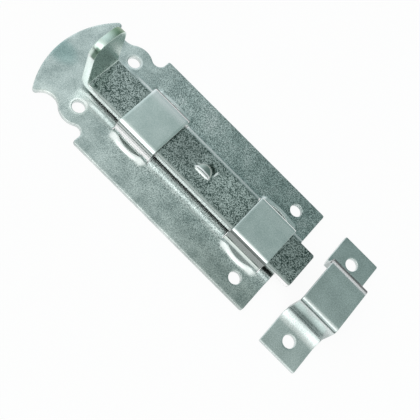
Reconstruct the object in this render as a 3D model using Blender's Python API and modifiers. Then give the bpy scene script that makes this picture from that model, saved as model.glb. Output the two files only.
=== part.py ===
"""Flat slide bolt in zinc-plated pressed steel, with its bridge-shaped keeper.

Frame: +X is the way the bolt is thrown, +Z points away from the door. The origin lies on the flat
back of the plate's head, on the middle line. The plate and the keeper both have their backs at z = 0.
The bolt is shown part of the way through its travel, with its tip past the plate's end.
"""

import math

import bmesh
import bpy
import numpy as np
from mathutils import Vector

MM = 0.001

# Clearances
GAP = 0.3 * MM                  # between pieces that touch
REAR_SIDE_PLAY = 1.8 * MM       # from each side of the bar to the strap's leg
FRONT_SIDE_PLAY = 0.4 * MM
TOP_PLAY = 1.0 * MM             # from the top of the bar to the strap's crown

# Back plate
PLATE_SHEET = 2.0 * MM
PLATE_WIDTH = 54.5 * MM
BODY_LENGTH = 88.0 * MM
CORNER_RADIUS = 0.6 * MM
SCREW_HOLE = 5.2 * MM
END_HOLE_INSET = 10.0 * MM      # from the plate's end
END_HOLE_SPACING = 39.8 * MM
NECK_HOLE_INSET = 8.8 * MM      # behind the shoulders
NECK_HOLE_SPACING = 31.0 * MM
HEAD_LENGTH = 32.5 * MM         # from the shoulders to the crown of the head
HEAD_INSET = 10.5 * MM          # from the crown of the head to the origin
HEAD_RADIUS = 41.0 * MM
HEAD_SPAN = 47.4 * MM           # over the two tips of the head
TIP_RADIUS = 1.3 * MM
EAR_RADIUS = 7.6 * MM           # round each neck hole
SCALLOP_RADIUS = 6.0 * MM       # hollow between each ear and the head
NOTCH_RADIUS = 3.0 * MM         # hollow between each ear and its shoulder

# Raised channel in the plate, on which the bar runs
CHANNEL_RISE = 0.8 * MM
CHANNEL_MARGIN = 1.9 * MM       # from each side of the bar to the crest of the slope
CHANNEL_SLOPE = 4.0 * MM        # run of each slope
CHANNEL_SWEEP = 1.8             # power that makes a slope start softly and end in a crest
CHANNEL_FADE = 9.0 * MM         # run in which the channel dies out, at the neck holes

# Slide bolt
BAR_WIDTH = 17.0 * MM
BAR_SHEET = 3.2 * MM
BAR_LENGTH = 111.3 * MM         # from the back of the handle to the tip
BAR_EDGE = 0.35 * MM
BAR_PROTRUSION = 6.8 * MM       # tip past the plate's end
TIP_CORNER = 0.8 * MM
HANDLE_RISE = 22.0 * MM         # above the top of the bar
HANDLE_LEAN = math.radians(2.7)
HANDLE_CORNER = 6.2 * MM
BEND_RADIUS = 1.3 * MM          # inside the bend
NIB_FROM_TIP = 53.8 * MM
NIB_LENGTH = 6.8 * MM
NIB_DEPTH = 4.6 * MM
NIB_HEIGHT = 1.6 * MM
NIB_OFFSET = 1.0 * MM           # from the bar's middle line to the sheared edge

# Guide straps
STRAP_SHEET = 1.3 * MM
STRAP_LENGTH = 18.2 * MM
FRONT_STRAP_INSET = 5.3 * MM    # from the plate's end
STRAP_PITCH = 58.5 * MM
REAR_FOLD_RADIUS = 1.5 * MM     # inside the folds of the crown
FRONT_FOLD_RADIUS = 0.5 * MM
REAR_FOOT_RADIUS = 0.4 * MM     # on the hollow side of each foot's bend
FRONT_FOOT_RADIUS = 1.2 * MM
REAR_FOOT_LENGTH = 3.7 * MM     # beyond the outside of the leg
FRONT_FOOT_LENGTH = 5.1 * MM

# Slots for the legs, each bowed out over the foot, and the pressed lips round them
REAR_SLOT_MARGIN = 0.7 * MM     # from the outside of the leg to the slot's outer edge
FRONT_SLOT_MARGIN = 1.9 * MM
EYE_LENGTH = 12.2 * MM          # bowed part of the slot
REAR_EYE_DEPTH = 1.8 * MM
FRONT_EYE_DEPTH = 1.6 * MM
LIP_RUN = 2.0 * MM              # slope of the lip over each foot
LIP_SWELL = 0.8 * MM            # height of the lip on the front of the plate

# Keeper
KEEPER_SHEET = 1.5 * MM
KEEPER_WIDTH = 17.6 * MM
KEEPER_LENGTH = 58.8 * MM
KEEPER_HEIGHT = 13.5 * MM
KEEPER_OPENING = 20.4 * MM      # between the walls, at the crown
KEEPER_CROWN_RADIUS = 0.6 * MM
KEEPER_FLARE = 0.9 * MM         # outward lean of each wall, down to its knee
KEEPER_KNEE_HEIGHT = 2.6 * MM   # from the foot to the knee
KEEPER_KNEE_RUN = 3.4 * MM      # from the knee out to the flat of the foot
KEEPER_KNEE_RADIUS = 1.0 * MM
KEEPER_FOOT_RADIUS = 8.0 * MM
KEEPER_HOLE_SPACING = 43.0 * MM
KEEPER_GAP = 12.2 * MM          # from the plate's end
KEEPER_SHIFT = -1.0 * MM        # to one side of the bolt's middle line, as it lies
SHEET_EDGE = 0.2 * MM           # wear on the cut edges of the straps and keeper

# Heights and places that follow
HEAD_BACK = -HEAD_INSET
SHOULDER = HEAD_BACK + HEAD_LENGTH
PLATE_END = SHOULDER + BODY_LENGTH
CHANNEL_TOP = PLATE_SHEET + CHANNEL_RISE
BAR_BOTTOM = CHANNEL_TOP + GAP
BAR_TOP = BAR_BOTTOM + BAR_SHEET
BAR_TIP = PLATE_END + BAR_PROTRUSION
BAR_BACK = BAR_TIP - BAR_LENGTH
CROWN_TOP = BAR_TOP + TOP_PLAY + STRAP_SHEET
LIP_RISE = STRAP_SHEET + GAP    # height of the hollow behind the plate, over each foot
FRONT_STRAP_X = PLATE_END - FRONT_STRAP_INSET - STRAP_LENGTH / 2
REAR_STRAP_X = FRONT_STRAP_X - STRAP_PITCH
END_HOLE_X = PLATE_END - END_HOLE_INSET
NECK_HOLE_X = SHOULDER - NECK_HOLE_INSET
KEEPER_X = PLATE_END + KEEPER_GAP + KEEPER_WIDTH / 2
ARC_STEP = math.radians(11.25)


class Strap:
    """One guide strap: its place along the plate, its bends, and the slot that its legs pass through."""

    def __init__(self, name, x, side_play, fold_radius, foot_radius, foot_length, slot_margin, eye_depth):
        self.name = name
        self.x = x
        self.fold_radius = fold_radius
        self.foot_radius = foot_radius
        self.eye_depth = eye_depth
        self.leg_inside = BAR_WIDTH / 2 + side_play
        self.leg_outside = self.leg_inside + STRAP_SHEET
        self.foot_end = self.leg_outside + foot_length
        self.slot_outer = self.leg_outside + slot_margin


STRAPS = (Strap("rear_guide_strap", REAR_STRAP_X, REAR_SIDE_PLAY, REAR_FOLD_RADIUS, REAR_FOOT_RADIUS,
                REAR_FOOT_LENGTH, REAR_SLOT_MARGIN, REAR_EYE_DEPTH),
          Strap("front_guide_strap", FRONT_STRAP_X, FRONT_SIDE_PLAY, FRONT_FOLD_RADIUS, FRONT_FOOT_RADIUS,
                FRONT_FOOT_LENGTH, FRONT_SLOT_MARGIN, FRONT_EYE_DEPTH))


def clear_scene():
    """Remove every object of the open file."""
    for item in list(bpy.data.objects):
        bpy.data.objects.remove(item, do_unlink=True)


def new_collection(name):
    """Add a collection to the scene."""
    group = bpy.data.collections.new(name)
    bpy.context.scene.collection.children.link(group)
    return group


def zinc_material(name, colour, roughness):
    """Bright zinc plating as a Principled material."""
    material = bpy.data.materials.new(name)
    material.use_nodes = True
    shader = material.node_tree.nodes["Principled BSDF"]
    shader.inputs["Base Color"].default_value = (*colour, 1.0)
    shader.inputs["Roughness"].default_value = roughness
    shader.inputs["Metallic"].default_value = 1.0
    return material


def add_object(name, mesh, group, material=None):
    """Link a mesh as an object, with its material."""
    item = bpy.data.objects.new(name, mesh)
    group.objects.link(item)
    if material:
        mesh.materials.append(material)
    return item


def add_cutter(name, mesh, group):
    """Link a mesh that only cuts or joins, drawn as wire."""
    cutter = add_object(name, mesh, group)
    cutter.hide_render = True
    cutter.display_type = "WIRE"
    return cutter


def apply_boolean(item, tool, operation):
    """Cut, join or intersect an object with a tool."""
    modifier = item.modifiers.new(tool.name, "BOOLEAN")
    modifier.operation = operation
    modifier.solver = "EXACT"
    modifier.object = tool


def arc(centre, radius, start, end):
    """Points on an arc from one angle to another, in degrees."""
    count = max(2, math.ceil(abs(math.radians(end - start)) / ARC_STEP))
    angles = np.radians(np.linspace(start, end, count + 1))
    return [(centre[0] + radius * math.cos(a), centre[1] + radius * math.sin(a)) for a in angles]


def bearing(start, end):
    """Direction from one point to another, from 0 to 360 degrees."""
    return math.degrees(math.atan2(end.y - start.y, end.x - start.x)) % 360


def rounded(corners):
    """An open path through corners (u, v, radius), with an arc at each inner corner."""
    points = [corners[0][:2]]
    for before, (u, v, radius), after in zip(corners, corners[1:], corners[2:]):
        corner = Vector((u, v))
        back = (Vector(before[:2]) - corner).normalized()
        on = (Vector(after[:2]) - corner).normalized()
        half = back.angle(on) / 2
        centre = corner + (back + on).normalized() * radius / math.sin(half)
        spoke = corner + back * radius / math.tan(half) - centre
        turn = math.copysign(math.pi - 2 * half, spoke.y * back.x - spoke.x * back.y)
        start = math.degrees(math.atan2(spoke.y, spoke.x))
        points += arc(centre, radius, start, start + math.degrees(turn))
    points.append(corners[-1][:2])
    return points


def mirrored(half):
    """Close a half outline with its mirror image across the middle line."""
    return half + [(x, -y) for x, y in reversed(half) if abs(y) > GAP / 10]


def prism_mesh(name, outline, low, high):
    """A filled flat outline, extruded from one height to another."""
    curve = bpy.data.curves.new(name, "CURVE")
    curve.dimensions = "2D"
    curve.fill_mode = "BOTH"
    curve.extrude = (high - low) / 2
    spline = curve.splines.new("POLY")
    spline.points.add(len(outline) - 1)
    for point, (x, y) in zip(spline.points, outline):
        point.co = (x, y, 0, 1)
    spline.use_cyclic_u = True
    holder = bpy.data.objects.new(name, curve)
    bpy.context.scene.collection.objects.link(holder)
    mesh = bpy.data.meshes.new_from_object(holder.evaluated_get(bpy.context.evaluated_depsgraph_get()))
    bpy.data.objects.remove(holder)
    shape = bmesh.new()
    shape.from_mesh(mesh)
    bmesh.ops.remove_doubles(shape, verts=shape.verts, dist=1e-6)
    bmesh.ops.translate(shape, verts=shape.verts, vec=(0, 0, (low + high) / 2))
    bmesh.ops.recalc_face_normals(shape, faces=shape.faces)
    shape.to_mesh(mesh)
    shape.free()
    mesh.name = name
    return mesh


def ribbon_mesh(name, path, width):
    """An open ribbon: a path in X and Z, drawn out along Y to its width."""
    shape = bmesh.new()
    near = [shape.verts.new((u, -width / 2, v)) for u, v in path]
    edges = [shape.edges.new(pair) for pair in zip(near, near[1:])]
    drawn = bmesh.ops.extrude_edge_only(shape, edges=edges)["geom"]
    far = [part for part in drawn if isinstance(part, bmesh.types.BMVert)]
    bmesh.ops.translate(shape, verts=far, vec=(0, width, 0))
    mesh = bpy.data.meshes.new(name)
    shape.to_mesh(mesh)
    shape.free()
    return mesh


def thicken(item, sheet):
    """Give an open surface the thickness of its sheet, half to each side."""
    modifier = item.modifiers.new("Sheet", "SOLIDIFY")
    modifier.thickness = sheet
    modifier.offset = 0
    modifier.use_even_offset = True


def soften(item, width, angle=50):
    """Round the sharp edges a little."""
    modifier = item.modifiers.new("Edges", "BEVEL")
    modifier.width = width
    modifier.segments = 2
    modifier.limit_method = "ANGLE"
    modifier.angle_limit = math.radians(angle)
    modifier.use_clamp_overlap = True


def round_hole(name, x, y, diameter, height, group):
    """A cylinder that cuts a screw hole."""
    shape = bmesh.new()
    bmesh.ops.create_cone(shape, cap_ends=True, segments=32, radius1=diameter / 2,
                          radius2=diameter / 2, depth=2 * height)
    mesh = bpy.data.meshes.new(name)
    shape.to_mesh(mesh)
    shape.free()
    cutter = add_cutter(name, mesh, group)
    cutter.location = (x, y, 0)
    return cutter


def tangent_centre(first, first_reach, second, second_reach):
    """Centre of a circle that lies at the two given distances from two points, on the outer side."""
    span = second - first
    along = (span.length_squared + first_reach ** 2 - second_reach ** 2) / (2 * span.length)
    across = math.sqrt(first_reach ** 2 - along ** 2)
    direction = span.normalized()
    return first + direction * along + Vector((direction.y, -direction.x)) * across


def plate_outline():
    """Outline of the plate: square body, waisted neck with two ears, crescent head.

    The neck is a chain of arcs that touch each other: head, tip, scallop, ear and notch.
    """
    side = PLATE_WIDTH / 2
    crown = Vector((HEAD_BACK + HEAD_RADIUS, 0))
    spread = math.asin((HEAD_SPAN / 2 - TIP_RADIUS) / (HEAD_RADIUS - TIP_RADIUS))
    tip = crown + (HEAD_RADIUS - TIP_RADIUS) * Vector((-math.cos(spread), math.sin(spread)))
    ear = Vector((NECK_HOLE_X, NECK_HOLE_SPACING / 2))
    scallop = tangent_centre(ear, EAR_RADIUS + SCALLOP_RADIUS, tip, TIP_RADIUS + SCALLOP_RADIUS)
    notch_x = SHOULDER - NOTCH_RADIUS
    notch_y = ear.y + math.sqrt((EAR_RADIUS + NOTCH_RADIUS) ** 2 - (notch_x - ear.x) ** 2)
    notch = Vector((notch_x, notch_y))
    half = arc(crown, HEAD_RADIUS, 180, bearing(crown, tip))
    half += arc(tip, TIP_RADIUS, bearing(crown, tip), bearing(tip, scallop))[1:]
    half += arc(scallop, SCALLOP_RADIUS, bearing(scallop, tip), bearing(scallop, ear))[1:]
    half += arc(ear, EAR_RADIUS, bearing(ear, scallop), bearing(ear, notch))[1:]
    half += arc(notch, NOTCH_RADIUS, bearing(notch, ear), 360)[1:]
    for x, turn in ((SHOULDER + CORNER_RADIUS, 180), (PLATE_END - CORNER_RADIUS, 90)):
        half += arc((x, side - CORNER_RADIUS), CORNER_RADIUS, turn, turn - 90)
    return mirrored(half)


def ease(value):
    """Smooth step from 0 to 1, for values from 0 to 1."""
    value = np.clip(value, 0, 1)
    return value * value * (3 - 2 * value)


def pressed_rise(x, y, lip_height):
    """Height of the pressing over the flat sheet: the channel and the lips over the strap feet."""
    across = np.abs(y)
    channel_start = NECK_HOLE_X - CHANNEL_FADE / 2
    channel = CHANNEL_RISE * ease((x - channel_start) / CHANNEL_FADE)
    up_slope = np.clip(1 - (across - BAR_WIDTH / 2 - CHANNEL_MARGIN) / CHANNEL_SLOPE, 0, 1)
    rise = channel * ease(up_slope ** CHANNEL_SWEEP)
    for strap in STRAPS:
        past_end = np.abs(x - strap.x) - STRAP_LENGTH / 2 - GAP
        lip = 1 - ease((across - strap.foot_end - GAP) / LIP_RUN)
        lip = lip * (1 - ease(past_end / LIP_RUN)) * ease((across - strap.leg_inside) / STRAP_SHEET)
        rise = np.maximum(rise, lip_height * lip)
    return rise


def pressed_sheet():
    """The pressed sheet, larger than the plate: a grid for its back, drawn up to its front.

    Its lines lie close together only where the sheet is pressed.
    """
    steps = np.linspace(0, 1, 5)
    across = [BAR_WIDTH / 2 + CHANNEL_MARGIN + CHANNEL_SLOPE * t for t in np.linspace(0, 1, 9)]
    along = [HEAD_BACK - PLATE_SHEET, PLATE_END + PLATE_SHEET]
    along += [NECK_HOLE_X - CHANNEL_FADE / 2 + CHANNEL_FADE * t for t in np.linspace(0, 1, 6)]
    for strap in STRAPS:
        across += [strap.leg_inside + STRAP_SHEET * t for t in (0, 0.5, 1)]
        across += [strap.foot_end + GAP + LIP_RUN * t for t in steps]
        for side in (-1, 1):
            along += [strap.x + side * (STRAP_LENGTH / 2 + GAP + LIP_RUN * t) for t in steps]
    across = sorted(set(np.round(across, 6))) + [PLATE_WIDTH / 2 + PLATE_SHEET]
    y_lines = np.array([-y for y in reversed(across)] + across)
    x_lines = np.array(sorted(along))
    shape = bmesh.new()
    bmesh.ops.create_grid(shape, x_segments=len(x_lines) - 1, y_segments=len(y_lines) - 1, size=1)
    for vertex in shape.verts:
        column = round((vertex.co.x + 1) / 2 * (len(x_lines) - 1))
        row = round((vertex.co.y + 1) / 2 * (len(y_lines) - 1))
        x, y = x_lines[column], y_lines[row]
        vertex.co = (x, y, float(pressed_rise(x, y, LIP_RISE)))
    drawn = bmesh.ops.extrude_face_region(shape, geom=shape.faces[:])["geom"]
    for part in drawn:
        if isinstance(part, bmesh.types.BMVert):
            part.co.z = PLATE_SHEET + float(pressed_rise(part.co.x, part.co.y, LIP_SWELL))
    bmesh.ops.triangulate(shape, faces=shape.faces[:])
    bmesh.ops.recalc_face_normals(shape, faces=shape.faces[:])
    mesh = bpy.data.meshes.new("back_plate")
    shape.to_mesh(mesh)
    shape.free()
    return mesh


def slot_outline(strap, side):
    """Slot for a strap's leg: straight inside, bowed out over the foot."""
    inner, outer = strap.leg_inside - GAP, strap.slot_outer
    start, end = strap.x - STRAP_LENGTH / 2 - GAP, strap.x + STRAP_LENGTH / 2 + GAP
    half_eye = EYE_LENGTH / 2
    radius = (half_eye ** 2 + strap.eye_depth ** 2) / (2 * strap.eye_depth)
    spread = math.degrees(math.asin(half_eye / radius))
    bow = arc((strap.x, outer + strap.eye_depth - radius), radius, 90 - spread, 90 + spread)
    outline = [(start, inner), (end, inner), (end, outer)] + bow + [(start, outer)]
    return [(x, side * y) for x, y in outline]


def make_back_plate(parts, cutters):
    """Pressed sheet, trimmed to its outline, with four screw holes and four strap slots."""
    plate = add_object("back_plate", pressed_sheet(), parts,
                       zinc_material("plate_zinc", (0.60, 0.64, 0.63), 0.32))
    reach = CROWN_TOP
    trim = add_cutter("plate_trim", prism_mesh("plate_trim", plate_outline(), -reach, reach), cutters)
    apply_boolean(plate, trim, "INTERSECT")
    for strap in STRAPS:
        for side in (-1, 1):
            mesh = prism_mesh("strap_slot", slot_outline(strap, side), -reach, reach)
            apply_boolean(plate, add_cutter("strap_slot", mesh, cutters), "DIFFERENCE")
    for x, spacing in ((NECK_HOLE_X, NECK_HOLE_SPACING), (END_HOLE_X, END_HOLE_SPACING)):
        for side in (-1, 1):
            hole = round_hole("plate_hole", x, side * spacing / 2, SCREW_HOLE, reach, cutters)
            apply_boolean(plate, hole, "DIFFERENCE")


def make_strap(strap, parts):
    """Hat-section strap over the bar, with feet turned out behind the plate."""
    middle = STRAP_SHEET / 2
    leg = strap.leg_outside - middle
    crown = CROWN_TOP - middle
    half = [(0, crown), (leg, crown, strap.fold_radius + middle), (leg, middle, strap.foot_radius + middle),
            (strap.foot_end, middle)]
    path = rounded(half)
    path = [(-u, v) for u, v in reversed(path[1:])] + path
    item = add_object(strap.name, ribbon_mesh(strap.name, path, STRAP_LENGTH), parts,
                      zinc_material(strap.name + "_zinc", (0.66, 0.71, 0.69), 0.26))
    item.rotation_euler.z = math.pi / 2
    item.location.x = strap.x
    thicken(item, STRAP_SHEET)
    soften(item, SHEET_EDGE)


def make_keeper(parts, cutters):
    """Bridge-shaped keeper: a tall loop for the bolt's tip, whose walls sweep out into two drilled feet."""
    middle = KEEPER_SHEET / 2
    wall = KEEPER_OPENING / 2 + middle
    knee = wall + KEEPER_FLARE
    half = [(0, KEEPER_HEIGHT - middle), (wall, KEEPER_HEIGHT - middle, KEEPER_CROWN_RADIUS + middle),
            (knee, KEEPER_KNEE_HEIGHT + middle, KEEPER_KNEE_RADIUS + middle),
            (knee + KEEPER_KNEE_RUN, middle, KEEPER_FOOT_RADIUS), (KEEPER_LENGTH / 2, middle)]
    path = rounded(half)
    path = [(-u, v) for u, v in reversed(path[1:])] + path
    keeper = add_object("keeper", ribbon_mesh("keeper", path, KEEPER_WIDTH), parts,
                        zinc_material("keeper_zinc", (0.63, 0.67, 0.66), 0.28))
    keeper.rotation_euler.z = math.pi / 2
    keeper.location = (KEEPER_X, KEEPER_SHIFT, 0)
    thicken(keeper, KEEPER_SHEET)
    soften(keeper, SHEET_EDGE)
    for side in (-1, 1):
        y = KEEPER_SHIFT + side * KEEPER_HOLE_SPACING / 2
        hole = round_hole("keeper_hole", KEEPER_X, y, SCREW_HOLE, KEEPER_SHEET * 2, cutters)
        apply_boolean(keeper, hole, "DIFFERENCE")


def round_corners(item, name, place, radius):
    """Round the ribbon's corners at one end, given by a test of a vertex's place."""
    group = item.vertex_groups.new(name=name)
    group.add([vertex.index for vertex in item.data.vertices if place(vertex.co)], 1, "REPLACE")
    modifier = item.modifiers.new(name, "BEVEL")
    modifier.affect = "VERTICES"
    modifier.limit_method = "VGROUP"
    modifier.vertex_group = name
    modifier.width = radius
    modifier.segments = 5


def half_dome_mesh(name, length, depth, height):
    """Half of a flattened dome on both sides of z = 0, cut off flat at y = 0."""
    shape = bmesh.new()
    bmesh.ops.create_uvsphere(shape, u_segments=24, v_segments=12, radius=1)
    bmesh.ops.scale(shape, verts=shape.verts, vec=(length / 2, depth, height))
    bmesh.ops.bisect_plane(shape, geom=shape.verts[:] + shape.edges[:] + shape.faces[:],
                           plane_co=(0, 0, 0), plane_no=(0, -1, 0), clear_outer=True)
    bmesh.ops.holes_fill(shape, edges=[edge for edge in shape.edges if edge.is_boundary])
    bmesh.ops.recalc_face_normals(shape, faces=shape.faces)
    mesh = bpy.data.meshes.new(name)
    shape.to_mesh(mesh)
    shape.free()
    return mesh


def make_slide_bolt(parts, cutters):
    """Flat bar with its back end bent up for a handle, and a stop nib half sheared up from it."""
    middle = (BAR_BOTTOM + BAR_TOP) / 2
    lean = HANDLE_RISE * math.tan(HANDLE_LEAN)
    back = BAR_BACK + BAR_SHEET / 2
    handle_top = BAR_TOP + HANDLE_RISE - middle
    corners = [(BAR_TIP, 0), (back + lean, 0, BEND_RADIUS + BAR_SHEET / 2), (back, handle_top)]
    bolt = add_object("slide_bolt", ribbon_mesh("slide_bolt", rounded(corners), BAR_WIDTH), parts,
                      zinc_material("bolt_zinc", (0.50, 0.55, 0.54), 0.34))
    bolt.location.z = middle
    round_corners(bolt, "tip", lambda place: place.x > BAR_TIP - GAP, TIP_CORNER)
    round_corners(bolt, "handle", lambda place: place.z > handle_top - GAP, HANDLE_CORNER)
    thicken(bolt, BAR_SHEET)
    soften(bolt, BAR_EDGE)
    nib = half_dome_mesh("stop_nib", NIB_LENGTH, NIB_DEPTH, NIB_HEIGHT)
    for name, height, operation in (("nib_raised", BAR_TOP, "UNION"), ("nib_hollow", BAR_BOTTOM, "DIFFERENCE")):
        tool = add_cutter(name, nib, cutters)
        tool.location = (BAR_TIP - NIB_FROM_TIP, -NIB_OFFSET, height)
        apply_boolean(bolt, tool, operation)


def main():
    """Build every piece."""
    clear_scene()
    parts = new_collection("barrel_bolt")
    cutters = new_collection("cutters")
    make_back_plate(parts, cutters)
    for strap in STRAPS:
        make_strap(strap, parts)
    make_slide_bolt(parts, cutters)
    make_keeper(parts, cutters)


main()
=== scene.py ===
"""Looks of a zinc-plated slide bolt and its keeper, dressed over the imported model.

Every piece is one sheet: a flat blank cut to outlines, with rolled edges, carried to its pressed or bent
form by a formula. Blanks are worked out as whole arrays, in metres, with a point of the flat blank as the
complex number s + i t. Frame: +X is the way the bolt is thrown, +Z points away from the door.
"""

import math

import bpy
import numpy as np
from mathutils import Matrix, Vector


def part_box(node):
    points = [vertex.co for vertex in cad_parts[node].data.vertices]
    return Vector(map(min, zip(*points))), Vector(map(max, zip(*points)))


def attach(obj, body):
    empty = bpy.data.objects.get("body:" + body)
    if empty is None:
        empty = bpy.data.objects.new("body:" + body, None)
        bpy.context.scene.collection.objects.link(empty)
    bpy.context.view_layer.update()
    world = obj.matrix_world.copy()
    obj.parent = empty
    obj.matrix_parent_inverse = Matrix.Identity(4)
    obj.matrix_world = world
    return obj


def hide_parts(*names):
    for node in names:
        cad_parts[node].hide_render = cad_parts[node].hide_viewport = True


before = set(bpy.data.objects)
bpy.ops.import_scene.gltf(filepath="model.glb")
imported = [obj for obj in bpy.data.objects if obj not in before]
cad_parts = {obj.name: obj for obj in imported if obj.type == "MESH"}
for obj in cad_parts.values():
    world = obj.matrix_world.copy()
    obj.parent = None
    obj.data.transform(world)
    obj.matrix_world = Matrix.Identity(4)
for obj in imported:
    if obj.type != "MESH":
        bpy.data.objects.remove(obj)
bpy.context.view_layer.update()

MM = 0.001

# Every sheet
ARC_STEP = 5.0                  # degrees between the points of an arc
ROLL_STEPS = 3                  # faces across a quarter round of a rolled edge
EDGE_ROOM = 0.3                 # share of a cell that its middle lies beyond the roll, where it is kept
SHARP_TURN = 40.0               # degrees between two faces, from which the edge between them is sharp
BEND_SAMPLES = 6000
SAME_POINT = 1e-7               # points of an outline nearer than this are one point

# Back plate
PLATE_SHEET = 2.0 * MM
PLATE_ROLL = 0.22 * MM          # radius of the rolled edges
PLATE_CELL = 0.45 * MM
HEAD_LENGTH = 32.5 * MM         # from the shoulders to the crown of the head
HEAD_RADIUS = 41.0 * MM
HEAD_SPAN = 47.4 * MM
TIP_RADIUS = 1.3 * MM
EAR_RADIUS = 7.6 * MM
SCALLOP_RADIUS = 6.0 * MM
NOTCH_RADIUS = 3.0 * MM
CORNER_RADIUS = 0.6 * MM
SCREW_HOLE = 5.2 * MM
END_HOLE_INSET = 10.0 * MM
END_HOLE_SPACING = 39.8 * MM
NECK_HOLE_INSET = 8.8 * MM
NECK_HOLE_SPACING = 31.0 * MM
CHANNEL_FADE = 9.0 * MM
CREST = 10.4 * MM               # from the middle line to the crest at each side of the channel
CREST_RISE = 0.8 * MM
CREST_RUN = 4.0 * MM            # of its outer flank
CREST_SWEEP = 1.8               # power that makes the flank start softly
TROUGH_FALL = 0.18 * MM         # from the crest to under the bar
TROUGH_RUN = 2.2 * MM

# Slide bolt
BAR_SHEET = 3.2 * MM
BAR_ROLL = 0.35 * MM
BAR_CELL = 0.38 * MM
BAR_BEND_RADIUS = 1.3 * MM
HANDLE_LEAN = 2.7               # degrees
HANDLE_CORNER = 6.2 * MM
BAR_TIP_CORNER = 0.8 * MM
NIB_FROM_TIP = 53.3 * MM
NIB_LENGTH = 7.4 * MM
NIB_DEPTH = 4.6 * MM
NIB_HEIGHT = 1.4 * MM
NIB_EDGE = -1.0 * MM            # the sheared edge, from the middle line
NIB_SHEAR = 0.03 * MM           # run of the sheared face, which is almost upright

# Guide straps
STRAP_SHEET = 1.3 * MM
STRAP_ROLL = 0.22 * MM
STRAP_CELL = 0.3 * MM
SLOT_GAP = 0.3 * MM
EYE_LENGTH = 12.2 * MM
LIP_RISE = 1.6 * MM             # of the back, over the foot
LIP_RUN = 2.0 * MM
LIP_FLARE = 0.65 * MM           # of the front, at the slot's edge
LIP_FLARE_RUN = 2.2 * MM
LIP_FLARE_INSET = 0.8           # share of its run, inside the strap's sides, from where its ends fade

# Keeper
KEEPER_SHEET = 1.5 * MM
KEEPER_ROLL = 0.25 * MM
KEEPER_CELL = 0.35 * MM
KEEPER_OPENING = 20.4 * MM
KEEPER_CROWN_RADIUS = 1.1 * MM
KEEPER_WALL_LEAN = 0.9 * MM     # outward, from the crown to the knee
KEEPER_KNEE = 2.6 * MM          # height of the knee over the foot
KEEPER_KNEE_RUN = 3.4 * MM      # from the knee to where the foot's flat begins
KEEPER_KNEE_RADIUS = 1.0 * MM
KEEPER_FOOT_RADIUS = 8.0 * MM
KEEPER_HOLE_SPACING = 43.0 * MM

# Camera, fitted to the photograph's 420 pixels
PICTURE = 420
FOCAL_PIXELS = 743.0
CAMERA_DISTANCE = 285.2 * MM
CAMERA_TILT = 27.3              # degrees from straight above, towards -Y
CAMERA_ROLL = 45.0
CAMERA_AIM = Vector((75.6, -6.2, 0.0)) * MM
CAMERA_NEAREST = 10 * MM        # nothing nearer is drawn

# Floor
FLOOR_REACH = 3.0               # from the middle to each side
FLOOR_HEIGHT = -0.05 * MM       # just under the backs
FLOOR_COLOUR = (0.85, 0.85, 0.85, 1)
FLOOR_GLOW = 0.92               # share of plain white in what the camera and reflections see of it

# Light tent: a pair says where a shade begins and where it is full, as a direction's share of -X, -Y or +Z
HORIZON_COLOUR = (1.0, 1.0, 1.0, 1)
WALL_COLOUR = (0.36, 0.44, 0.42, 1)
WALL_HEIGHTS = (0.14, 0.26)
FAR_COLOUR = (0.23, 0.31, 0.30, 1)
FAR_REACH = (-0.56, -0.40)
SIDE_COLOUR = (0.88, 0.98, 1.0, 1)
SIDE_REACH = (-0.02, 0.50)
CARD_COLOUR = (0.10, 0.15, 0.13, 1)
CARD_REACH = (0.30, 0.50)
CANOPY_COLOUR = (0.80, 0.84, 0.82, 1)
CANOPY_REACH = (-0.50, -0.05)
SOFTBOX_COLOUR = (1.55, 1.58, 1.56, 1)
SOFTBOX_REACH = (-0.10, 0.50)
SOFTBOX_HEIGHTS = (0.41, 0.54)
LAMP_AXIS = Vector((-0.15, -0.45, 0.88)).normalized()
LAMP_DISTANCE = 0.7
LAMP_SIZE = (0.45, 0.35)
LAMP_POWER = 0.3

# Zinc plating
SPECKLE_NOISE = (1.5, 0.6)      # detail and roughness
CLOUD_NOISE = (2.0, 0.5)
SPECKLE_ROUGHNESS = 0.15        # how far the plating's roughness follows its speckles

# Sockets of a Mix node that carries colours
MIX_FACTOR, MIX_FIRST, MIX_SECOND, MIX_RESULT = 0, 6, 7, 2


def corners_of(cad_node):
    """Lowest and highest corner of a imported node, as two arrays."""
    return [np.array(corner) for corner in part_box(cad_node)]


class Strap:
    """A guide strap's place and bends, and the room that its slots leave beside its legs."""

    def __init__(self, cad_node, foot, fold_radius, foot_radius, margin, bow):
        self.cad_node = cad_node
        self.low, self.high = corners_of(cad_node)
        self.middle = (self.low[0] + self.high[0]) / 2
        self.half_width = (self.high[0] - self.low[0]) / 2
        self.leg = self.high[1] - foot
        self.fold_radius = fold_radius
        self.foot_radius = foot_radius
        self.margin = margin
        self.bow = bow


PLATE_LOW, PLATE_HIGH = corners_of("back_plate")
BAR_LOW, BAR_HIGH = corners_of("slide_bolt")
KEEPER_LOW, KEEPER_HIGH = corners_of("keeper")
SHOULDER = PLATE_LOW[0] + HEAD_LENGTH
NECK_HOLE_X = SHOULDER - NECK_HOLE_INSET
END_HOLE_X = PLATE_HIGH[0] - END_HOLE_INSET
BAR_BOTTOM = BAR_LOW[2]
BAR_TOP = BAR_BOTTOM + BAR_SHEET
NIB_X = BAR_HIGH[0] - NIB_FROM_TIP
STRAPS = (Strap("rear_guide_strap", foot=3.7 * MM, fold_radius=1.55 * MM, foot_radius=0.4 * MM,
                margin=0.7 * MM, bow=1.8 * MM),
          Strap("front_guide_strap", foot=5.1 * MM, fold_radius=0.5 * MM, foot_radius=1.2 * MM,
                margin=1.9 * MM, bow=1.65 * MM))


# Blanks

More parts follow.
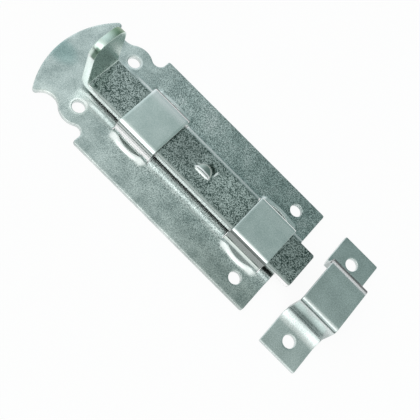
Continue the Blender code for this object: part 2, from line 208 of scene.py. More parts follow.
def arc(centre, radius, start, end, step=ARC_STEP):
    """Points of an arc between two angles in degrees: centre + radius e^(i angle)."""
    count = max(2, math.ceil(abs(end - start) / step))
    return centre + radius * np.exp(1j * np.radians(np.linspace(start, end, count + 1)))


def ring(centre, radius):
    """A round hole's outline."""
    return arc(centre, radius, 0, 360)[:-1]


def bearing(start, end):
    """Direction from one point to another, from 0 to 360 degrees."""
    return math.degrees(np.angle(end - start)) % 360


def rounded_strip(length_from, length_to, half_width, start_radius, end_radius):
    """A rectangular blank with one corner radius at each end."""
    corners = []
    for end, radius, way, turn in ((length_to, end_radius, 1, 0), (length_from, start_radius, -1, 180)):
        inset = end - way * radius
        reach = way * (half_width - radius)
        corners.append(arc(complex(inset, -reach), radius, turn - 90, turn))
        corners.append(arc(complex(inset, reach), radius, turn, turn + 90))
    return np.concatenate(corners)


def cut_feet(points, outlines):
    """Nearest place on the outlines to each point, and whether the point lies in the metal.

    On a straight cut from a to b the foot is a + clip(Re((p - a) conj(b - a)) / |b - a|^2, 0, 1) (b - a).
    A point is in the metal if a line from it along s crosses the outlines an odd number of times.
    """
    foot = np.full(points.shape, np.inf + 0j)
    reach = np.full(points.shape, np.inf)
    crossings = np.zeros(points.shape, int)
    p = points[..., None]
    for outline in outlines:
        a = outline
        b = np.roll(outline, -1)
        cut = b - a
        along = np.clip(((p - a) * cut.conj()).real / abs(cut) ** 2, 0, 1)
        feet = a + along * cut
        distance = abs(p - feet)
        pick = distance.argmin(axis=-1)[..., None]
        nearer = np.take_along_axis(distance, pick, -1)[..., 0]
        foot = np.where(nearer < reach, np.take_along_axis(feet, pick, -1)[..., 0], foot)
        reach = np.minimum(nearer, reach)
        spans = (a.imag > p.imag) != (b.imag > p.imag)
        rise = np.where(spans, cut.imag, 1)
        crossings += (spans & (a.real + (p.imag - a.imag) * cut.real / rise > p.real)).sum(axis=-1)
    return foot, reach, crossings % 2 == 1


def neighbour_count(kept):
    """How many of the four cells round each grid point are kept."""
    padded = np.pad(kept.astype(int), 1)
    return padded[:-1, :-1] + padded[1:, :-1] + padded[:-1, 1:] + padded[1:, 1:]


def border_edges(kept, number):
    """Directed edges with the metal on their left, as two arrays of point numbers."""
    padded = np.pad(kept, 1)
    s_low, s_high = padded[1:-1, :-1], padded[1:-1, 1:]
    t_low, t_high = padded[:-1, 1:-1], padded[1:, 1:-1]
    i, j = np.nonzero(s_high & ~s_low)
    pairs = [(number[i, j], number[i + 1, j])]
    i, j = np.nonzero(s_low & ~s_high)
    pairs.append((number[i + 1, j], number[i, j]))
    i, j = np.nonzero(t_high & ~t_low)
    pairs.append((number[i, j + 1], number[i, j]))
    i, j = np.nonzero(t_low & ~t_high)
    pairs.append((number[i, j], number[i, j + 1]))
    return [np.concatenate(side) for side in zip(*pairs)]


def sheet_shell(outlines, s_lines, t_lines, sheet, roll, form):
    """Points and faces of a sheet cut to outlines, with rolled edges, in its bent form.

    Front and back are grids on the lines s and t, kept where a cell's middle lies deeper in the metal
    than the roll and part of a cell. Grid points on the border move out until they lie one roll from the
    outline. From there the edge is a half round drawn out: at angle a it is roll (1 - sin a) in from the
    outline and roll (1 - cos a) under the face. form turns (s + i t, height) into places.
    """
    grid = s_lines[:, None] + 1j * t_lines[None, :]
    middle = (grid[1:, 1:] + grid[:-1, :-1]) / 2
    cell = abs(grid[1:, 1:] - grid[:-1, :-1])
    _, reach, in_metal = cut_feet(middle, outlines)
    kept = in_metal & (reach > roll + EDGE_ROOM * cell)
    count = neighbour_count(kept)
    border = (count > 0) & (count < 4)
    foot, reach, _ = cut_feet(grid[border], outlines)
    outward = (foot - grid[border]) / reach
    flat = grid.copy()
    flat[border] = foot - roll * outward
    used = count > 0
    number = np.full(grid.shape, -1)
    number[used] = np.arange(used.sum())
    front = used.sum()
    rim = border.sum()
    angles = np.radians(np.linspace(0, 90, ROLL_STEPS + 1))[1:]
    angles = np.concatenate([angles, angles[::-1]])
    fall = roll * (1 - np.cos(angles))
    heights = np.where(np.arange(2 * ROLL_STEPS) < ROLL_STEPS, sheet - fall, fall)
    rings = foot - roll * outward + np.outer(np.sin(angles) * roll, outward)
    blank = np.concatenate([flat[used], flat[used], rings.ravel()])
    height = np.concatenate([np.full(front, sheet), np.zeros(front), np.repeat(heights, rim)])
    top = number[:-1, :-1][kept], number[1:, :-1][kept], number[1:, 1:][kept], number[:-1, 1:][kept]
    faces = [np.stack(top, 1), np.stack(top[::-1], 1) + front]
    start, end = border_edges(kept, number)
    order = np.full(front, -1)
    order[number[border]] = np.arange(rim)
    levels = [np.arange(front)] + [2 * front + k * rim + order for k in range(2 * ROLL_STEPS)]
    levels.append(np.arange(front) + front)
    faces += [np.stack([low[end], low[start], high[start], high[end]], 1)
              for low, high in zip(levels, levels[1:])]
    return form(blank, height), np.concatenate(faces)


def make_piece(name, shell, body, finish, cad_node):
    """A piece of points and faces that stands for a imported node: smooth, but sharp where it is sheared."""
    places, faces = shell
    mesh = bpy.data.meshes.new(name)
    mesh.vertices.add(len(places))
    mesh.vertices.foreach_set("co", places.ravel())
    mesh.loops.add(faces.size)
    mesh.loops.foreach_set("vertex_index", faces.ravel().astype(np.int32))
    mesh.polygons.add(len(faces))
    mesh.polygons.foreach_set("loop_start", np.arange(0, faces.size, 4, dtype=np.int32))
    mesh.update(calc_edges=True)
    mesh.validate()
    mesh.shade_smooth()
    mesh.set_sharp_from_angle(angle=math.radians(SHARP_TURN))
    mesh.materials.append(finish)
    piece = bpy.data.objects.new(name, mesh)
    bpy.context.scene.collection.objects.link(piece)
    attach(piece, body)
    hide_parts(cad_node)


def lines(start, end, cell):
    """Evenly spaced grid lines, about one cell apart."""
    return np.linspace(start, end, math.ceil((end - start) / cell) + 1)


# Bent strips

def bend_course(corners):
    """Straight and bent stretches of a path through corners (u + i v, radius): lists of lengths and headings.

    Each corner takes radius tan(turn / 2) from the straight on both sides, and its bend is radius times
    turn long.
    """
    points = np.array([point for point, _ in corners])
    way = np.diff(points)
    headings = np.unwrap(np.angle(way))
    turns = np.diff(headings)
    radii = np.array([radius for _, radius in corners[1:-1]])
    trims = radii * np.tan(abs(turns) / 2)
    straights = abs(way) - np.append(trims, 0) - np.append(0, trims)
    lengths = [straights[0]]
    knots = [headings[0], headings[0]]
    for turn, radius, straight, heading in zip(turns, radii, straights[1:], headings[1:]):
        lengths += [abs(turn) * radius, straight]
        knots += [heading, heading]
    return np.append(0, np.cumsum(lengths)), np.array(knots)


def bent(corners, sheet):
    """A function from length and height to a place u + i v on a strip bent along corners, and its length.

    The heading turns evenly along each bend. A place is the start, plus the integral of e^(i heading), plus
    i e^(i heading) times the height over the middle of the sheet.
    """
    knots, headings = bend_course(corners)
    run = np.linspace(0, knots[-1], BEND_SAMPLES)
    heading = np.interp(run, knots, headings)
    steps = np.exp(1j * (heading[1:] + heading[:-1]) / 2) * np.diff(run)
    track = corners[0][0] + np.append(0, np.cumsum(steps))

    def place(length, height):
        turn = np.interp(length, run, heading)
        point = np.interp(length, run, track.real) + 1j * np.interp(length, run, track.imag)
        return point + 1j * np.exp(1j * turn) * (height - sheet / 2)

    return place, knots[-1]


def hat_corners(*half):
    """Corners of a hat-shaped strip: those given, from a foot's end to the crown, and their mirror images."""
    half = [(complex(-u, v), radius) for u, v, radius in half]
    return half + [(-point.conjugate(), radius) for point, radius in reversed(half)]


def bridge_form(place, length, middle_x, middle_y=0.0):
    """Carries a blank to a strip that bridges the bolt: s runs along Y, t along -X."""
    def form(blank, height):
        track = place(blank.real + length / 2, height)
        return np.stack([middle_x - blank.imag, middle_y + track.real, track.imag], 1)
    return form


# Back plate

def ease(value):
    """Smooth step from 0 to 1: 3 v^2 - 2 v^3."""
    value = np.clip(value, 0, 1)
    return value * value * (3 - 2 * value)


def touching_centre(first, first_reach, second, second_reach):
    """Centre of a circle at the given distances from two points, on the outer side."""
    span = second - first
    along = (abs(span) ** 2 + first_reach ** 2 - second_reach ** 2) / (2 * abs(span))
    across = math.sqrt(first_reach ** 2 - along ** 2)
    return first + span / abs(span) * complex(along, -across)


def plate_outline():
    """Square body, waisted neck with two ears, and crescent head, as a chain of arcs that touch."""
    side = PLATE_HIGH[1]
    crown = complex(PLATE_LOW[0] + HEAD_RADIUS, 0)
    spread = math.asin((HEAD_SPAN / 2 - TIP_RADIUS) / (HEAD_RADIUS - TIP_RADIUS))
    tip = crown - (HEAD_RADIUS - TIP_RADIUS) * np.exp(-1j * spread)
    ear = complex(NECK_HOLE_X, NECK_HOLE_SPACING / 2)
    scallop = touching_centre(ear, EAR_RADIUS + SCALLOP_RADIUS, tip, TIP_RADIUS + SCALLOP_RADIUS)
    notch_x = SHOULDER - NOTCH_RADIUS
    notch_lift = math.sqrt((EAR_RADIUS + NOTCH_RADIUS) ** 2 - (notch_x - ear.real) ** 2)
    notch = complex(notch_x, ear.imag + notch_lift)
    half = [arc(crown, HEAD_RADIUS, 180, bearing(crown, tip), 2.0),
            arc(tip, TIP_RADIUS, bearing(crown, tip), bearing(tip, scallop)),
            arc(scallop, SCALLOP_RADIUS, bearing(scallop, tip), bearing(scallop, ear)),
            arc(ear, EAR_RADIUS, bearing(ear, scallop), bearing(ear, notch)),
            arc(notch, NOTCH_RADIUS, bearing(notch, ear), 360)]
    for x, turn in ((SHOULDER + CORNER_RADIUS, 180), (PLATE_HIGH[0] - CORNER_RADIUS, 90)):
        half.append(arc(complex(x, side - CORNER_RADIUS), CORNER_RADIUS, turn, turn - 90))
    half = np.concatenate(half)
    whole = np.concatenate([half, half[:0:-1].conj()])
    return whole[np.append(True, abs(np.diff(whole)) > SAME_POINT)]


def slot_outline(strap, side):
    """Slot for a strap's leg: straight inside, bowed out over the foot."""
    inner = strap.leg - STRAP_SHEET - SLOT_GAP
    outer = strap.leg + strap.margin
    half_eye = EYE_LENGTH / 2
    radius = (half_eye ** 2 + strap.bow ** 2) / (2 * strap.bow)
    spread = math.degrees(math.asin(half_eye / radius))
    bow = arc(complex(strap.middle, outer + strap.bow - radius), radius, 90 - spread, 90 + spread)
    start, end = strap.low[0] - SLOT_GAP, strap.high[0] + SLOT_GAP
    slot = np.concatenate([[complex(start, inner), complex(end, inner), complex(end, outer)],
                           bow, [complex(start, outer)]])
    return slot if side > 0 else slot.conj()


def channel_rise(x, y):
    """Height of the channel: a swept flank up to each crest and a smooth step down to the trough.

    With u the share of the flank that lies behind, the flank is h ease(u^sweep). All dies out at the neck.
    """
    flank = np.clip(1 - (abs(y) - CREST) / CREST_RUN, 0, 1)
    rise = CREST_RISE * ease(flank ** CREST_SWEEP) - TROUGH_FALL * ease((CREST - abs(y)) / TROUGH_RUN)
    return rise * ease((x - NECK_HOLE_X + CHANNEL_FADE / 2) / CHANNEL_FADE)


def back_rise(x, y):
    """The back is pressed up as the channel is, and by one strap's sheet over each foot."""
    rise = channel_rise(x, y)
    for strap in STRAPS:
        lip = 1 - ease((abs(y) - strap.high[1] - SLOT_GAP) / LIP_RUN)
        lip = lip * (1 - ease((abs(x - strap.middle) - strap.half_width - SLOT_GAP) / LIP_RUN))
        lip = lip * ease((abs(y) - strap.leg + STRAP_SHEET) / STRAP_SHEET)
        rise = np.maximum(rise, LIP_RISE * lip)
    return rise


def front_rise(x, y):
    """The front flares up from a straight line to each slot's bowed edge: h ease(1 - hypot(u, v)).

    u is the share of the way from the edge to the line, and v the share of the flare's run past its end.
    """
    rise = channel_rise(x, y)
    for strap in STRAPS:
        along = abs(x - strap.middle)
        bow = strap.bow * np.clip(1 - (2 * along / EYE_LENGTH) ** 2, 0, 1)
        past_edge = abs(y) - strap.leg - strap.margin - bow
        past_side = np.clip(past_edge / (LIP_FLARE_RUN + strap.bow - bow), 0, 1)
        past_end = np.maximum((along - strap.half_width) / LIP_FLARE_RUN + LIP_FLARE_INSET, 0)
        flare = LIP_FLARE * ease(1 - np.hypot(past_side, past_end))
        rise = rise + flare * ease((abs(y) - strap.leg) / strap.margin)
    return rise


def make_back_plate(finish):
    """Pressed plate: z is the back's height, plus the share of the sheet between back and front."""
    outlines = [plate_outline()]
    outlines += [ring(complex(x, side * spacing / 2), SCREW_HOLE / 2) for side in (-1, 1)
                 for x, spacing in ((NECK_HOLE_X, NECK_HOLE_SPACING), (END_HOLE_X, END_HOLE_SPACING))]
    outlines += [slot_outline(strap, side) for strap in STRAPS for side in (-1, 1)]

    def form(blank, height):
        x, y = blank.real, blank.imag
        back = back_rise(x, y)
        front = PLATE_SHEET + front_rise(x, y)
        return np.stack([x, y, back + height / PLATE_SHEET * (front - back)], 1)

    shell = sheet_shell(outlines, lines(PLATE_LOW[0], PLATE_HIGH[0], PLATE_CELL),
                        lines(PLATE_LOW[1], PLATE_HIGH[1], PLATE_CELL), PLATE_SHEET, PLATE_ROLL, form)
    make_piece("pressed_back_plate", shell, "plate", finish, "back_plate")


# Straps and keeper

def make_strap(strap, finish):
    """Hat-shaped strap over the bar, its feet turned out behind the plate."""
    middle = STRAP_SHEET / 2
    leg = strap.leg - middle
    corners = hat_corners((strap.high[1], middle, 0), (leg, middle, strap.foot_radius + middle),
                          (leg, strap.high[2] - middle, strap.fold_radius + middle))
    place, length = bent(corners, STRAP_SHEET)
    outline = rounded_strip(-length / 2, length / 2, strap.half_width, STRAP_ROLL * 2, STRAP_ROLL * 2)
    shell = sheet_shell([outline], lines(-length / 2, length / 2, STRAP_CELL),
                        lines(-strap.half_width, strap.half_width, STRAP_CELL * 2), STRAP_SHEET, STRAP_ROLL,
                        bridge_form(place, length, strap.middle))
    make_piece("pressed_" + strap.cad_node, shell, "plate", finish, strap.cad_node)


def make_keeper(finish):
    """Bridge-shaped keeper with two drilled feet."""
    middle = KEEPER_SHEET / 2
    wall = KEEPER_OPENING / 2 + middle
    middle_x, middle_y = (KEEPER_LOW[:2] + KEEPER_HIGH[:2]) / 2
    half_length = KEEPER_HIGH[1] - middle_y
    knee = wall + KEEPER_WALL_LEAN
    corners = hat_corners((half_length, middle, 0), (knee + KEEPER_KNEE_RUN, middle, KEEPER_FOOT_RADIUS),
                          (knee, KEEPER_KNEE + middle, KEEPER_KNEE_RADIUS + middle),
                          (wall, KEEPER_HIGH[2] - middle, KEEPER_CROWN_RADIUS + middle))
    place, length = bent(corners, KEEPER_SHEET)
    half_width = (KEEPER_HIGH[0] - KEEPER_LOW[0]) / 2
    hole = length / 2 - (half_length - KEEPER_HOLE_SPACING / 2)
    outlines = [rounded_strip(-length / 2, length / 2, half_width, KEEPER_ROLL * 2, KEEPER_ROLL * 2),
                ring(complex(-hole, 0), SCREW_HOLE / 2), ring(complex(hole, 0), SCREW_HOLE / 2)]
    shell = sheet_shell(outlines, lines(-length / 2, length / 2, KEEPER_CELL),
                        lines(-half_width, half_width, KEEPER_CELL), KEEPER_SHEET, KEEPER_ROLL,
                        bridge_form(place, length, middle_x, middle_y))
    make_piece("bent_keeper", shell, "plate", finish, "keeper")


# Slide bolt

def nib_rise(x, y):
    """Half a flattened dome on the far side of its sheared edge: h sqrt(1 - (x/a)^2 - (y/b)^2)."""
    dome = 1 - (2 * (x - NIB_X) / NIB_LENGTH) ** 2 - ((y - NIB_EDGE) / NIB_DEPTH) ** 2
    return NIB_HEIGHT * np.sqrt(np.clip(dome, 0, 1)) * (y >= NIB_EDGE)


def make_slide_bolt(finish):
    """Flat bar with its back end bent up for a handle, and the stop nib sheared up from it."""
    middle = BAR_SHEET / 2
    lean = math.tan(math.radians(HANDLE_LEAN)) * (BAR_HIGH[2] - BAR_TOP)
    axis_z = BAR_BOTTOM + middle
    back = BAR_LOW[0] + middle
    corners = [(complex(back, BAR_HIGH[2]), 0), (complex(back + lean, axis_z), BAR_BEND_RADIUS + middle),
               (complex(BAR_HIGH[0], axis_z), 0)]
    place, length = bent(corners, BAR_SHEET)
    half_width = BAR_HIGH[1]
    outline = rounded_strip(0, length, half_width, HANDLE_CORNER, BAR_TIP_CORNER)

    def form(blank, height):
        track = place(blank.real, height)
        rise = nib_rise(track.real, blank.imag) * (track.imag < BAR_TOP + BAR_ROLL)
        return np.stack([track.real, blank.imag, track.imag + rise], 1)

    t_lines = np.concatenate([lines(-half_width, NIB_EDGE - NIB_SHEAR, BAR_CELL),
                              lines(NIB_EDGE, half_width, BAR_CELL)])
    shell = sheet_shell([outline], lines(0, length, BAR_CELL), t_lines, BAR_SHEET, BAR_ROLL, form)
    make_piece("sliding_bar", shell, "bolt", finish, "slide_bolt")


# Finishes

class Flow:
    """A number on its way through a material. Sums and products of it add Math nodes."""

    def __init__(self, tree, socket):
        self.tree = tree
        self.socket = socket

    def math(self, operation, first, second):
        return node(self.tree, "ShaderNodeMath", {"operation": operation}, {0: first, 1: second})

    def __add__(self, other):
        return self.math("ADD", self, other)

    def __radd__(self, other):
        return self.math("ADD", other, self)

    def __sub__(self, other):
        return self.math("SUBTRACT", self, other)

    def __rsub__(self, other):
        return self.math("SUBTRACT", other, self)

    def __mul__(self, other):
        return self.math("MULTIPLY", self, other)

    def __rmul__(self, other):
        return self.math("MULTIPLY", other, self)


def node(tree, kind, settings=None, inputs=None, output=0):
    """Add one node: its settings first, then the values or links of its sockets."""
    made = tree.nodes.new(kind)
    for name, value in (settings or {}).items():
        setattr(made, name, value)
    for name, value in (inputs or {}).items():
        if isinstance(value, Flow):
            tree.links.new(value.socket, made.inputs[name])
        else:
            made.inputs[name].default_value = value
    return Flow(tree, made.outputs[output])


def smooth_range(tree, value, low, high):
    """Smooth step of a value between two limits."""
    return node(tree, "ShaderNodeMapRange", {"interpolation_type": "SMOOTHSTEP"},
                {"Value": value, "From Min": low, "From Max": high})


def grain(tree, place, size, noise):
    """Noise whose lumps are about one size in mm across, from 0 to 1. noise is its detail and roughness."""
    return node(tree, "ShaderNodeTexNoise", {},
                {"Vector": place, "Scale": 1 / (size * MM), "Detail": noise[0], "Roughness": noise[1]})


def tint(tree, factor, first, second, blend="MIX", limited=False):
    """Mix of two colours. A limited one stays between black and white."""
    return node(tree, "ShaderNodeMix", {"data_type": "RGBA", "blend_type": blend, "clamp_result": limited},
                {MIX_FACTOR: factor, MIX_FIRST: first, MIX_SECOND: second}, output=MIX_RESULT)


def shares_of(tree, place):
    """A place's shares of the three axes, and its distance from the middle line, by letter or name."""
    split = node(tree, "ShaderNodeSeparateXYZ", {}, {0: place}).socket.node
    shares = {axis: Flow(tree, split.outputs[axis]) for axis in "XYZ"}
    shares["side"] = node(tree, "ShaderNodeMath", {"operation": "ABSOLUTE"}, {0: shares["Y"]})
    return shares


def ramps(*spans):
    """A cover that grows from 0 to 1 between two places on an axis, for each span: (axis, from, to) in mm."""
    def cover(tree, place):
        shares = shares_of(tree, place)
        whole = 1
        for axis, start, end in spans:
            whole = whole * smooth_range(tree, shares[axis], start * MM, end * MM)
        return whole
    return cover


def blot(x, y, half_x, half_y, soft=0.4, hollow=0.0):
    """A soft oval cover, in mm, with q = ((X - x) / a)^2 + ((Y - y) / b)^2: 1 within q = 1, 0 well beyond.

    A hollow one is a ring, and is 0 again well within q = hollow.
    """
    def cover(tree, place):
        shares = shares_of(tree, place)
        along = (shares["X"] - x * MM) * (1 / (half_x * MM))
        across = (shares["Y"] - y * MM) * (1 / (half_y * MM))
        q = along * along + across * across
        whole = smooth_range(tree, q, 1 + soft, 1 - soft)
        if hollow:
            whole = whole * smooth_range(tree, q, hollow * (1 - soft), hollow * (1 + soft))
        return whole
    return cover


def both(first, second):
    """Where two covers meet."""
    return lambda tree, place: first(tree, place) * second(tree, place)


def speckles(size, depth):
    """A cover that comes and goes with a fine grain: 0.5 + depth (grain - 0.5)."""
    return lambda tree, place: 0.5 + depth * (grain(tree, place, size, SPECKLE_NOISE) - 0.5)


def felt_slopes(*slopes, cover=None):
    """A surface felt by the light to rise along an axis, for each slope: (axis, from, to, rise per length).

    From and to are places on the axis in mm. A cover says how strongly the slopes are felt.
    """
    def normal(tree, place):
        shares = shares_of(tree, place)
        height = 0
        for axis, start, end, slope in slopes:
            limits = {"Value": shares[axis], "Min": start * MM, "Max": end * MM}
            height = height + slope * node(tree, "ShaderNodeClamp", {}, limits)
        strength = cover(tree, place) if cover else 1.0
        return node(tree, "ShaderNodeBump", {}, {"Strength": strength, "Distance": 1.0, "Height": height})
    return normal


def laid(cover, *shade, rougher=0.0):
    """A touch that lays a colour over the plating."""
    return cover, shade, "MIX", rougher


def toned(cover, *shade, rougher=0.0):
    """A touch that multiplies the plating's colour."""
    return cover, shade, "MULTIPLY", rougher


def zinc_finish(name, light, dark, fine, broad, roughness, bump, touches, tilt=None):
    """Bright zinc plating: fine speckles and broad clouds between a light and a dark tone, with a fine bump.

    fine and broad are the size in mm and the depth of the speckles and of the clouds, and
    tone = 0.5 + fine depth (speckle - 0.5) + broad depth (cloud - 0.5). Each touch is a cover, a colour, how
    it meets the plating's colour, and how much rougher the plating is there. After each, the colour stays
    between black and white. A tilt is a slope that the light feels under the bump.
    """
    material = bpy.data.materials.new(name)
    material.use_nodes = True
    tree = material.node_tree
    shader = tree.nodes["Principled BSDF"]
    place = node(tree, "ShaderNodeTexCoord", output="Object")
    fine_size, fine_depth = fine
    broad_size, broad_depth = broad
    speckle = grain(tree, place, fine_size, SPECKLE_NOISE)
    cloud = grain(tree, place, broad_size, CLOUD_NOISE)
    tone = 0.5 + fine_depth * (speckle - 0.5) + broad_depth * (cloud - 0.5)
    colour = tint(tree, tone, (*dark, 1), (*light, 1))
    rough = roughness + SPECKLE_ROUGHNESS * (speckle - 0.5)
    for cover, shade, blend, rougher in touches:
        covered = cover(tree, place)
        colour = tint(tree, covered, colour, (*shade, 1), blend, limited=True)
        rough = rough + rougher * covered
    relief = {"Strength": bump, "Distance": fine_size * MM, "Height": speckle}
    if tilt:
        relief["Normal"] = tilt(tree, place)
    normal = node(tree, "ShaderNodeBump", {}, relief)
    tree.links.new(colour.socket, shader.inputs["Base Color"])
    tree.links.new(rough.socket, shader.inputs["Roughness"])
    tree.links.new(normal.socket, shader.inputs["Normal"])
    shader.inputs["Metallic"].default_value = 1.0
    return material


# Finish of each piece. Left is +Y and right is -Y, facing the way the bolt is thrown

def plate_zinc():
    """The back plate's plating."""
    left_body = ramps(("X", 5, 45), ("Y", -45, 12))
    touches = [
        # a dark grain that grows to the left, lighter between its grains
        toned(both(speckles(0.38, 9.0), left_body), 0.33, 0.36, 0.36),
        toned(left_body, 1.44, 1.42, 1.42),
        # the trough's painted reflection, the right crest's painted shade and the left crest's painted
        # highlight line
        laid(ramps(("side", 10.4, 9.9), ("X", 12, 18)), 0.80, 0.88, 0.86, rougher=0.12),
        toned(ramps(("Y", -13.6, -12.6), ("Y", -9.9, -10.6), ("X", 12, 18)), 0.72, 0.75, 0.75),
        laid(ramps(("Y", 10.5, 11.2), ("Y", 12.4, 11.8), ("X", 16, 24)), 1.0, 1.0, 1.0),
        # painted shade: the flats darken to the front, on the right and on the left
        toned(ramps(("Y", -13, -21), ("X", 60, 92)), 0.76, 0.77, 0.76),
        toned(ramps(("X", 50, 100), ("Y", -4, 16)), 0.76, 0.79, 0.79),
        # painted highlights on the flared lips, and the bar's painted shadow in front of the front strap
        laid(ramps(("Z", 2.03, 2.2), ("side", 12.6, 13.2)), 0.90, 0.94, 0.93),
        toned(ramps(("X", 103.8, 104.6), ("side", 10.0, 9.4), ("side", 7.9, 8.3)), 0.16, 0.18, 0.17),
        # a shade on the head, and a light on its right horn
        toned(blot(-7.9, -3.6, 6.5, 4.5, 0.9), 0.72, 0.84, 0.84),
        toned(blot(2.8, -20.5, 5.0, 3.0, 0.9), 1.12, 1.10, 1.09)]
    # painted highlights: pale rings round the neck's screw holes
    touches += [laid(blot(13.2, side * 15.5, 3.5, 3.5, 0.2, 0.65), 0.90, 0.93, 0.92) for side in (-1, 1)]
    slopes = felt_slopes(("side", 8.0, 10.3, 0.36), cover=ramps(("X", 12, 18)))
    return zinc_finish("plate_zinc_look", light=(0.80, 0.86, 0.84), dark=(0.38, 0.45, 0.44), fine=(0.42, 1.7),
                       broad=(6, 1.6), roughness=0.26, bump=0.03, touches=touches, tilt=slopes)


def bar_zinc():
    """The slide bolt's plating."""
    touches = [
        # a dark and a light patch on the bar's top, the tip, and a painted highlight along the right edge
        toned(blot(52, 2, 9, 7, 0.8), 0.80, 0.80, 0.80),
        toned(blot(77, 2, 9, 7, 0.8), 1.30, 1.28, 1.28),
        toned(ramps(("X", 100, 106)), 0.86, 0.86, 0.86),
        laid(ramps(("Y", -6.9, -8.1)), 0.62, 0.66, 0.64),
        # the upright handle
        laid(ramps(("Z", 6.35, 7.0), ("X", 14, 12)), 0.68, 0.80, 0.74),
        # the bar's sides, a painted reflection, brightest in front of the handle, and a painted dark line at
        # their top
        laid(ramps(("side", 8.2, 8.45)), 0.80, 0.84, 0.83, rougher=0.05),
        laid(ramps(("side", 8.2, 8.45), ("X", 9, 14)), 1.0, 1.0, 1.0),
        toned(ramps(("side", 8.12, 8.25), ("Z", 5.9, 6.02), ("X", 11, 13)), 0.34, 0.38, 0.37),
        # shades at the handle's top, on the left and in the right corner
        toned(ramps(("X", 8.74, 8.5), ("Z", 24, 25), ("Y", -1.5, 4.0)), 0.32, 0.40, 0.30),
        toned(ramps(("X", 8.9, 8.7), ("X", 6.4, 7.6), ("Y", -5.6, -6.4), ("Z", 22.3, 23.3)),
              0.22, 0.28, 0.24),
        # the nib's dome, a painted highlight on its lip and painted shade in the slit
        laid(ramps(("Z", 6.40, 6.55), ("X", 58, 59)), 0.42, 0.48, 0.45, rougher=-0.06),
        laid(ramps(("Z", 6.40, 6.55), ("X", 58, 59), ("Y", 0.10, -0.05)), 1.0, 1.0, 1.0, rougher=0.3),
        laid(ramps(("Z", 7.1, 7.25), ("X", 58, 59), ("Y", -0.65, -0.75), ("Y", -1.05, -0.95)),
             0.05, 0.07, 0.07),
        # the crescent of painted shade beyond the nib, and the painted highlight lines before and beside it
        toned(both(blot(63.5, -1.0, 5.3, 6.4, 0.2, 0.55), ramps(("X", 62.6, 64.6), ("Y", 1.2, 3.2))),
              0.18, 0.22, 0.20),
        laid(blot(63.6, -1.2, 3.3, 0.28), 0.86, 0.89, 0.88),
        laid(blot(67.7, 3.2, 0.4, 1.5), 0.92, 0.95, 0.94, rougher=0.15)]
    return zinc_finish("bolt_zinc_look", light=(0.62, 0.68, 0.66), dark=(0.08, 0.12, 0.11), fine=(0.36, 10.0),
                       broad=(3, 2.0), roughness=0.28, bump=0.09, touches=touches)


def rear_strap_zinc():
    """The rear strap's plating, with painted light and shade on its crown, left fold, legs, feet and both
    folds.
    """
    touches = [
        # painted highlight on the crown towards its left fold
        laid(ramps(("Y", 5.0, 8.8), ("Z", 7.4, 7.8)), 1.0, 1.0, 1.0),
        # painted shade on the left fold
        toned(ramps(("Y", 9.7, 10.5), ("Z", 5.5, 6.5)), 0.30, 0.31, 0.31),
        # painted reflection on the lower legs
        laid(ramps(("Z", 1.35, 2.0), ("Z", 7.2, 5.2)), 1.0, 1.0, 1.0),
        # painted shade on the feet, which lie under the plate
        toned(ramps(("Z", 1.7, 1.35)), 0.36, 0.38, 0.37),
        # painted shade on the upper legs, at the start of both folds
        toned(ramps(("Z", 5.6, 6.6), ("Z", 8.0, 7.6)), 0.66, 0.66, 0.66)]
    slopes = felt_slopes(("side", 11.6, 20, 0.42), ("Z", 1.6, 5.2, -0.58), ("Z", 5.2, 6.8, -0.42))
    return zinc_finish("rear_strap_look", light=(0.84, 0.90, 0.88), dark=(0.60, 0.69, 0.67), fine=(0.5, 1.0),
                       broad=(5, 1.2), roughness=0.22, bump=0.01, touches=touches, tilt=slopes)


def front_strap_zinc():
    """The front strap's plating, with painted light and shade on its crown, left fold, legs that darken
    upwards, both folds and feet.
    """
    touches = [
        # painted light on the crown, growing towards its left fold
        laid(ramps(("Y", 2.0, 11.0), ("Z", 7.9, 8.3)), 0.96, 0.99, 0.98),
        # painted shade on the left fold
        toned(ramps(("Y", 9.2, 9.8), ("Z", 5.5, 6.5)), 0.50, 0.51, 0.51),
        # painted shade on the legs, darker upwards
        laid(ramps(("Z", 1.2, 1.5), ("Z", 8.15, 7.9)), 0.42, 0.46, 0.44),
        laid(ramps(("Z", 2.0, 5.2), ("Z", 8.15, 7.9)), 0.32, 0.35, 0.34),
        # painted shade at the start of both folds
        toned(ramps(("Z", 6.8, 7.3), ("Z", 8.15, 7.9)), 0.70, 0.70, 0.70),
        # painted shade on the feet, which lie under the plate and are also rougher
        toned(ramps(("Z", 1.6, 1.35)), 0.80, 0.82, 0.82, rougher=0.1)]
    slopes = felt_slopes(("Z", 1.6, 7.2, -0.58))
    return zinc_finish("front_strap_look", light=(0.90, 0.95, 0.94), dark=(0.64, 0.72, 0.71), fine=(0.5, 1.0),
                       broad=(5, 1.2), roughness=0.22, bump=0.01, touches=touches, tilt=slopes)


def keeper_zinc():
    """The keeper's plating, with painted light and shade on the crown's left end, the left fold, the walls
    and both folds.
    """
    touches = [
        # painted light on the crown's left end
        laid(ramps(("Y", 6.4, 8.0), ("Z", 12.0, 12.3)), 0.72, 0.75, 0.75),
        # painted shade on the left fold
        toned(ramps(("Y", 8.7, 9.2), ("Z", 9.0, 10.0)), 0.15, 0.17, 0.17),
        # painted shade on the walls, fading out towards the crown
        toned(ramps(("Z", 12.0, 7.0), ("Z", 2.6, 3.4)), 0.64, 0.66, 0.66),
        # painted shade at the start of both folds
        toned(ramps(("Z", 12.1, 12.5), ("Z", 13.25, 13.05)), 0.45, 0.48, 0.48)]
    slopes = felt_slopes(("Y", 7.7, 12.0, -0.45), cover=ramps(("Z", 10.5, 11.5)))
    return zinc_finish("keeper_zinc_look", light=(0.78, 0.84, 0.83), dark=(0.50, 0.56, 0.55), fine=(0.5, 1.8),
                       broad=(7, 1.2), roughness=0.22, bump=0.03, touches=touches, tilt=slopes)


# Studio

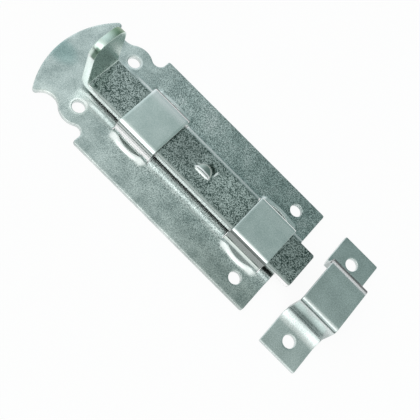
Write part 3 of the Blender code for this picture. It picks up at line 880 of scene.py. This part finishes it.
def make_floor():
    """White floor just under the backs, which keeps a faint shadow."""
    mesh = bpy.data.meshes.new("floor")
    sides = ((-1, -1), (1, -1), (1, 1), (-1, 1))
    corners = [(x * FLOOR_REACH, y * FLOOR_REACH, FLOOR_HEIGHT) for x, y in sides]
    mesh.from_pydata(corners, [], [(0, 1, 2, 3)])
    floor = bpy.data.objects.new("floor", mesh)
    bpy.context.scene.collection.objects.link(floor)
    material = bpy.data.materials.new("floor_white")
    material.use_nodes = True
    tree = material.node_tree
    shader = tree.nodes["Principled BSDF"]
    shader.inputs["Base Color"].default_value = FLOOR_COLOUR
    shader.inputs["Roughness"].default_value = 1.0
    rays = node(tree, "ShaderNodeLightPath").socket.node.outputs
    seen = Flow(tree, rays["Is Camera Ray"]) + Flow(tree, rays["Is Glossy Ray"])
    seen = seen + Flow(tree, rays["Is Transmission Ray"])
    glow = node(tree, "ShaderNodeEmission", {}, {"Color": (1, 1, 1, 1), "Strength": 1.0})
    lit = Flow(tree, shader.outputs["BSDF"])
    mixed = node(tree, "ShaderNodeMixShader", {}, {0: seen * FLOOR_GLOW, 1: lit, 2: glow})
    tree.links.new(mixed.socket, tree.nodes["Material Output"].inputs["Surface"])
    mesh.materials.append(material)


def make_world():
    """A light tent: a white horizon, grey walls, a dark card low at -Y, a canopy and the glow of a softbox.

    The walls are darkest to +Y and pale to -X. Each shade takes over from the one before it as the
    direction's share of an axis grows.
    """
    world = bpy.data.worlds.new("tent")
    bpy.context.scene.world = world
    world.use_nodes = True
    tree = world.node_tree
    background = tree.nodes["Background"]
    direction = node(tree, "ShaderNodeTexCoord", output="Generated")
    split = node(tree, "ShaderNodeSeparateXYZ", {}, {0: direction}).socket.node
    left, near = (-1 * Flow(tree, split.outputs[axis]) for axis in "XY")
    height = Flow(tree, split.outputs["Z"])
    over = smooth_range(tree, height, *SOFTBOX_HEIGHTS)
    colour = tint(tree, smooth_range(tree, near, *FAR_REACH), FAR_COLOUR, WALL_COLOUR)
    colour = tint(tree, smooth_range(tree, left, *SIDE_REACH), colour, SIDE_COLOUR)
    colour = tint(tree, smooth_range(tree, near, *CARD_REACH), colour, CARD_COLOUR)
    colour = tint(tree, smooth_range(tree, height, *WALL_HEIGHTS), HORIZON_COLOUR, colour)
    colour = tint(tree, over * smooth_range(tree, near, *CANOPY_REACH), colour, CANOPY_COLOUR)
    colour = tint(tree, over * smooth_range(tree, near, *SOFTBOX_REACH), colour, SOFTBOX_COLOUR)
    tree.links.new(colour.socket, background.inputs["Color"])
    background.inputs["Strength"].default_value = 1.0


def make_softbox():
    """One wide soft lamp in the middle of the overhead glow."""
    lamp = bpy.data.lights.new("softbox", "AREA")
    lamp.shape = "RECTANGLE"
    lamp.size, lamp.size_y = LAMP_SIZE
    lamp.energy = LAMP_POWER
    softbox = bpy.data.objects.new("softbox", lamp)
    bpy.context.scene.collection.objects.link(softbox)
    softbox.location = CAMERA_AIM + LAMP_AXIS * LAMP_DISTANCE
    softbox.rotation_euler = LAMP_AXIS.to_track_quat("Z", "Y").to_euler()


def make_camera():
    """Camera at the photograph's angle: tilted back from straight above, and rolled."""
    camera = bpy.data.cameras.new("camera")
    camera.lens = FOCAL_PIXELS / PICTURE * camera.sensor_width
    camera.clip_start = CAMERA_NEAREST
    holder = bpy.data.objects.new("camera", camera)
    bpy.context.scene.collection.objects.link(holder)
    tilt = Matrix.Rotation(math.radians(CAMERA_TILT), 4, "X")
    roll = Matrix.Rotation(math.radians(CAMERA_ROLL), 4, "Z")
    back_off = Matrix.Translation((0, 0, CAMERA_DISTANCE))
    holder.matrix_world = Matrix.Translation(CAMERA_AIM) @ (tilt @ roll) @ back_off
    bpy.context.scene.camera = holder


make_camera()
make_floor()
make_world()
make_softbox()
bpy.context.scene.view_settings.view_transform = "Standard"

make_back_plate(plate_zinc())
for strap, finish in zip(STRAPS, (rear_strap_zinc(), front_strap_zinc())):
    make_strap(strap, finish)
make_slide_bolt(bar_zinc())
make_keeper(keeper_zinc())

bpy.context.view_layer.update()
